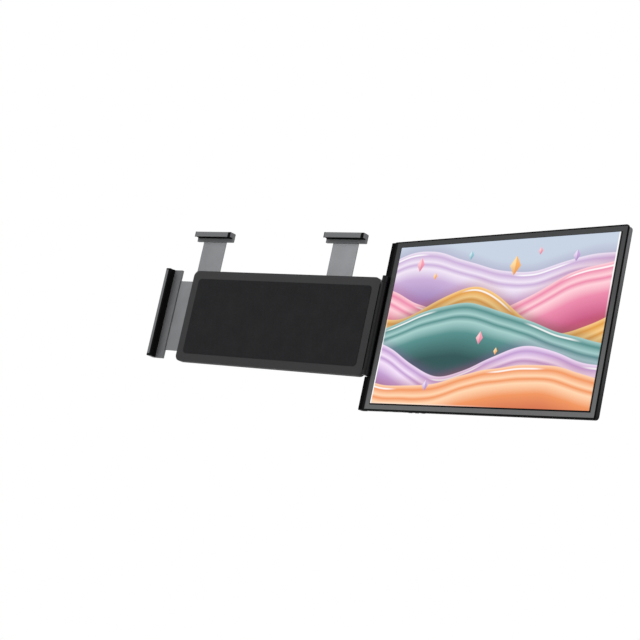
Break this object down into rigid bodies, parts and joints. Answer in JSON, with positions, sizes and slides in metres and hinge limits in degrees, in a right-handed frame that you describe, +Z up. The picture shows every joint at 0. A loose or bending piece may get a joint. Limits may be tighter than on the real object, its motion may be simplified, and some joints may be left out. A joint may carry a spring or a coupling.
{
  "type": "laptop screen extender",
  "caption": "Flat side monitor on a vertical hinge, carried by a slim bracket that hooks on a laptop lid with sliding clips and has a fold-out stand.",
  "frame": {"origin": "centre of the foam pad's face that rests on the back of the laptop's lid, level with the middle of the hinge", "axes": "+X along the lid towards the side monitor, +Y from the lid to the back of the bracket, +Z up along the lid and along the hinge"},
  "size_m": [0.7258, 0.091, 0.2205],
  "materials": {
    "foam": "fine closed-cell foam",
    "cover_plastic": "fine moulded grain",
    "sheet_steel": "rolled sheet",
    "hinge_black": "black satin coat",
    "bush_brass": "turned",
    "glide_tape": "smooth low-friction tape",
    "dark_steel": "black oxide",
    "pin_steel": "ground",
    "arm_aluminium": "grey anodised, fine brushed",
    "hook_grey": "satin moulded grey",
    "silicone": "matte black silicone",
    "stand_plastic": "fine moulded grain",
    "bezel_charcoal": "satin charcoal",
    "display_glass": "lit display showing a soft coloured design",
    "white_film": "translucent film",
    "clear_acrylic": "polished edge-lit sheet",
    "led_board": "lamp strip",
    "green_board": "soldered circuit board",
    "port_steel": "drawn shell",
    "speaker_black": "moulded box",
    "flex_copper": "flat flexible cable",
    "shell_grey": "satin grey moulding",
    "spine_black": "satin black moulding",
    "button_black": "satin black moulding"
  },
  "bodies": {
    "bracket": {"lid_pad": "foam", "front_cover": "cover_plastic", "divider_plate": "sheet_steel", "rear_cover": "cover_plastic", "hinge_arm": "hinge_black", "friction_bushes": "bush_brass", "glide_pads": "glide_tape", "cover_screws": "dark_steel", "arm_screws": "dark_steel", "stand_pin": "pin_steel"},
    "left_clip": {"left_arm": "arm_aluminium", "left_hook": "hook_grey", "left_lining": "silicone", "left_hook_screws": "dark_steel"},
    "top_clip_left": {"top_arm_left": "arm_aluminium", "top_hook_left": "hook_grey", "top_lining_left": "silicone", "top_hook_screws_left": "dark_steel"},
    "top_clip_right": {"top_arm_right": "arm_aluminium", "top_hook_right": "hook_grey", "top_lining_right": "silicone", "top_hook_screws_right": "dark_steel"},
    "kickstand": {"stand_plate": "stand_plastic", "stand_foot": "silicone"},
    "monitor": {"bezel_frame": "bezel_charcoal", "display_panel": "display_glass", "diffuser_sheet": "white_film", "light_guide": "clear_acrylic", "led_strip": "led_board", "panel_tray": "sheet_steel", "main_board": "green_board", "data_ports": "port_steel", "video_port": "port_steel", "speakers": "speaker_black", "panel_cable": "flex_copper", "tact_switches": "port_steel", "rear_shell": "shell_grey", "spine_cover": "spine_black", "hinge_leaf": "hinge_black", "hinge_pins": "pin_steel", "leaf_screws": "dark_steel", "shell_screws": "dark_steel"},
    "power_button": {"power_button": "button_black"},
    "menu_up_button": {"menu_up_button": "button_black"},
    "menu_down_button": {"menu_down_button": "button_black"}
  },
  "joints": [
    {"name": "monitor_swing", "type": "hinge", "parent": "bracket", "child": "monitor", "pos_m": [0.1793, -0.005, 0], "axis": [0, 0, 1], "range_deg": [-167.5, 25]},
    {"name": "left_clip_slide", "type": "slide", "parent": "bracket", "child": "left_clip", "axis": [-1, 0, 0], "range_m": [-0.024, 0.04]},
    {"name": "top_clip_left_slide", "type": "slide", "parent": "bracket", "child": "top_clip_left", "axis": [0, 0, 1], "range_m": [-0.04, 0.022]},
    {"name": "top_clip_right_slide", "type": "slide", "parent": "bracket", "child": "top_clip_right", "axis": [0, 0, 1], "range_m": [-0.04, 0.022]},
    {"name": "kickstand_fold", "type": "hinge", "parent": "bracket", "child": "kickstand", "pos_m": [0, 0.0091, -0.054], "axis": [-1, 0, 0], "range_deg": [0, 120]},
    {"name": "power_button_press", "type": "slide", "parent": "monitor", "child": "power_button", "axis": [0, 0, 1], "range_m": [0, 0.0004], "stiffness_N_per_m": 3000},
    {"name": "menu_up_press", "type": "slide", "parent": "monitor", "child": "menu_up_button", "axis": [0, 0, 1], "range_m": [0, 0.0004], "stiffness_N_per_m": 3000},
    {"name": "menu_down_press", "type": "slide", "parent": "monitor", "child": "menu_down_button", "axis": [0, 0, 1], "range_m": [0, 0.0004], "stiffness_N_per_m": 3000}
  ]
}
